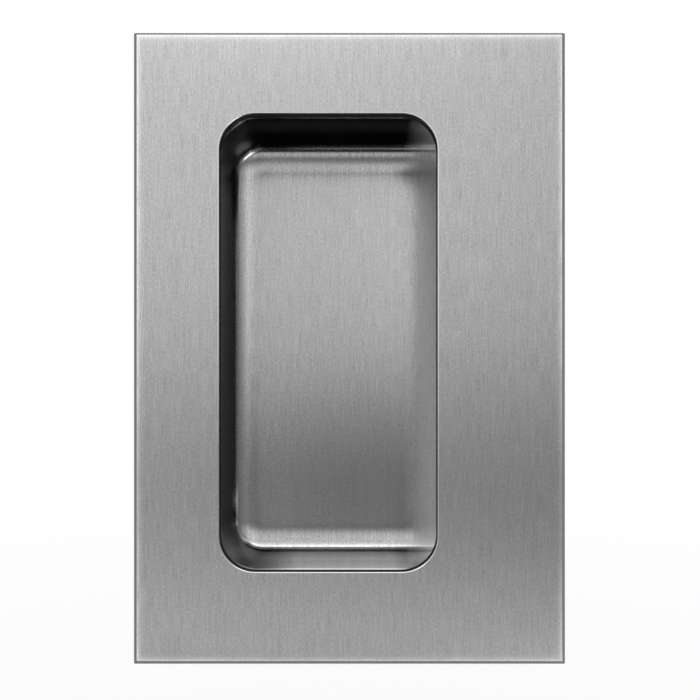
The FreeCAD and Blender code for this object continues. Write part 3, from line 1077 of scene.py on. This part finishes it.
# %% Floor
FLOOR_LEVEL = -0.16
FLOOR_HALF = 3.0
floor_mesh = bpy.data.meshes.new("floor")
corners = [(-1, -1), (1, -1), (1, 1), (-1, 1)]
floor_mesh.from_pydata([(x * FLOOR_HALF, y * FLOOR_HALF, FLOOR_LEVEL) for x, y in corners], [], [(0, 1, 2, 3)])
floor = put_in_scene("floor", floor_mesh)
floor.visible_glossy = False
print("floor", FLOOR_HALF * 2, "m across")

# %% Floor finish
# The shadow shows near the pull, and from FADE_NEAR to FADE_FAR, in metres, the floor turns plain white
FADE_NEAR, FADE_FAR = 0.25, 0.8
LEAST_WHITE = 0.6
pale_floor = bpy.data.materials.new("pale floor")
pale_floor.use_nodes = True
tree = pale_floor.node_tree
shader = tree.nodes["Principled BSDF"]
shader.inputs["Base Color"].default_value = (0.96, 0.96, 0.96, 1)
shader.inputs["Roughness"].default_value = 0.9
shader.inputs["Specular IOR Level"].default_value = 0.0
white = tree.nodes.new("ShaderNodeEmission")
blend = tree.nodes.new("ShaderNodeMixShader")
path = tree.nodes.new("ShaderNodeLightPath")
where = tree.nodes.new("ShaderNodeTexCoord")
far_off = tree.nodes.new("ShaderNodeVectorMath")
far_off.operation = "LENGTH"
tree.links.new(where.outputs["Object"], far_off.inputs[0])
fade = curve(tree, far_off.outputs["Value"], [(FADE_NEAR, LEAST_WHITE), (FADE_FAR, 1.0)])
share = math_node(tree, "MULTIPLY", path.outputs["Is Camera Ray"], fade)
tree.links.new(share, blend.inputs[0])
tree.links.new(shader.outputs[0], blend.inputs[1])
tree.links.new(white.outputs[0], blend.inputs[2])
tree.links.new(blend.outputs[0], tree.nodes["Material Output"].inputs["Surface"])
floor_mesh.materials.append(pale_floor)
print("floor finish:", pale_floor.name)

# %% [markdown]
# ## Light tent
#
# Steel has hardly any colour of its own: it shows the room. A photographer stands such a piece inside a cloth tent
# and lets the cloth be brightest overhead, with black cloth low down and far to the right to draw the dark walls and
# outlines. The tent here is a sphere that only reflections see. Its brightness is a curve over height, times a curve
# from left to right, and behind the object it is as white as the background. The camera and its stand are a soft dark
# patch in it, which shows as the shade low on the pan's floor. A small white card low at the right puts the glint on
# the round in the pan's upper left corner, and a faint one higher up lifts the plate's broad side.

# %% Cloth of the tent
# Brightness by height, in degrees above the level of the pull
TENT_HEIGHTS = [
    (-90, 0.02), (-40, 0.02), (-34, 0.05), (-31, 0.2), (-28, 0.45), (-25, 0.66), (-21, 0.65), (-17, 0.5),
    (-13, 0.42), (-8, 0.42), (-3, 0.51), (5, 0.6), (14, 0.7), (22, 0.7), (30, 0.67), (36, 1.1), (42, 1.8),
    (60, 1.6), (75, 1.0), (90, 0.8),
]
# Share of it from the far left (-1) to the far right (1)
TENT_ACROSS = [
    (-1, 0.3), (-0.94, 0.4), (-0.86, 1.3), (-0.5, 1.5), (-0.3, 1.15), (0, 1.05), (0.2, 1.18), (0.32, 1.24),
    (0.4, 0.85), (0.5, 0.55), (0.62, 0.45), (0.75, 0.4), (1, 0.3),
]
# Share that gives way to dark cloth at the sides, and to white at the back, from the front (-1) to the back (1)
TO_SIDE = [(-1, 0), (-0.15, 0), (0.05, 1), (1, 1)]
TO_BACK = [(-1, 0), (0.5, 0), (0.75, 1), (1, 1)]
SIDE_CLOTH = 0.3
print("tent cloth from", min(TENT_HEIGHTS[0][1], 1.0), "low down to", max(b for _, b in TENT_HEIGHTS), "overhead")

# %% Stand and cards
# The camera and its stand: a soft dark patch, given by its direction, its half width, its squatness and its share
STAND = (0.08, -0.982, -0.17)
STAND_REACH = 0.4
STAND_SQUAT = (0.8, 1.0, 1.7)
STAND_SHARE = 0.36
STAND_SHADE = [(0, STAND_SHARE), (0.3 * STAND_REACH, STAND_SHARE), (STAND_REACH, 1), (2, 1)]
# Two white cards: direction, half width and extra brightness. The small one at the lower right gives the sharp
# glints, and the faint one at the upper right lifts the plate's broad side
CARDS = [((0.627, -0.439, -0.643), 0.36, 3.0), ((0.4, -0.88, 0.26), 0.34, 0.16)]
print(len(CARDS), "cards")

# %% Tent
TENT_RADIUS = 1.2
bm = bmesh.new()
bmesh.ops.create_uvsphere(bm, u_segments=64, v_segments=32, radius=TENT_RADIUS)
tent = put_in_scene("light_tent", mesh_from(bm, "light_tent"))
tent.visible_camera = False
tent.visible_diffuse = False
tent.visible_shadow = False
tent.visible_transmission = False
print("tent", TENT_RADIUS * 2, "m across")


# %% Light of the tent
def distance_to(tree, place, point):
    node = tree.nodes.new("ShaderNodeVectorMath")
    node.operation = "DISTANCE"
    node.inputs[1].default_value = point
    tree.links.new(place, node.inputs[0])
    return node.outputs["Value"]


tent_cloth = bpy.data.materials.new("tent cloth")
tent_cloth.use_nodes = True
tent_cloth.cycles.emission_sampling = "NONE"
tree = tent_cloth.node_tree
tree.nodes.remove(tree.nodes["Principled BSDF"])
where = tree.nodes.new("ShaderNodeTexCoord")
unit = tree.nodes.new("ShaderNodeVectorMath")
unit.operation = "NORMALIZE"
tree.links.new(where.outputs["Object"], unit.inputs[0])
split = tree.nodes.new("ShaderNodeSeparateXYZ")
tree.links.new(unit.outputs[0], split.inputs[0])
height = math_node(tree, "DEGREES", math_node(tree, "ARCSINE", split.outputs["Z"]))
front = math_node(tree, "MULTIPLY", curve(tree, height, TENT_HEIGHTS), curve(tree, split.outputs["X"], TENT_ACROSS))
squat = tree.nodes.new("ShaderNodeVectorMath")
squat.operation = "MULTIPLY"
squat.inputs[1].default_value = STAND_SQUAT
tree.links.new(unit.outputs[0], squat.inputs[0])
from_stand = distance_to(tree, squat.outputs[0], [a * b for a, b in zip(STAND, STAND_SQUAT)])
front = math_node(tree, "MULTIPLY", front, curve(tree, from_stand, STAND_SHADE))
for direction, reach, brightness in CARDS:
    card = curve(tree, distance_to(tree, unit.outputs[0], direction), [(0, 1), (0.6 * reach, 1), (reach, 0), (2, 0)])
    front = math_node(tree, "ADD", front, math_node(tree, "MULTIPLY", card, brightness))
to_side, to_back = (curve(tree, split.outputs["Y"], stops) for stops in (TO_SIDE, TO_BACK))
glow = between(tree, to_back, between(tree, to_side, front, SIDE_CLOTH), 1.0)
cloth = tree.nodes.new("ShaderNodeEmission")
tree.links.new(glow, cloth.inputs["Strength"])
tree.links.new(cloth.outputs[0], tree.nodes["Material Output"].inputs["Surface"])
tent.data.materials.append(tent_cloth)
print("tent finish:", tent_cloth.name)
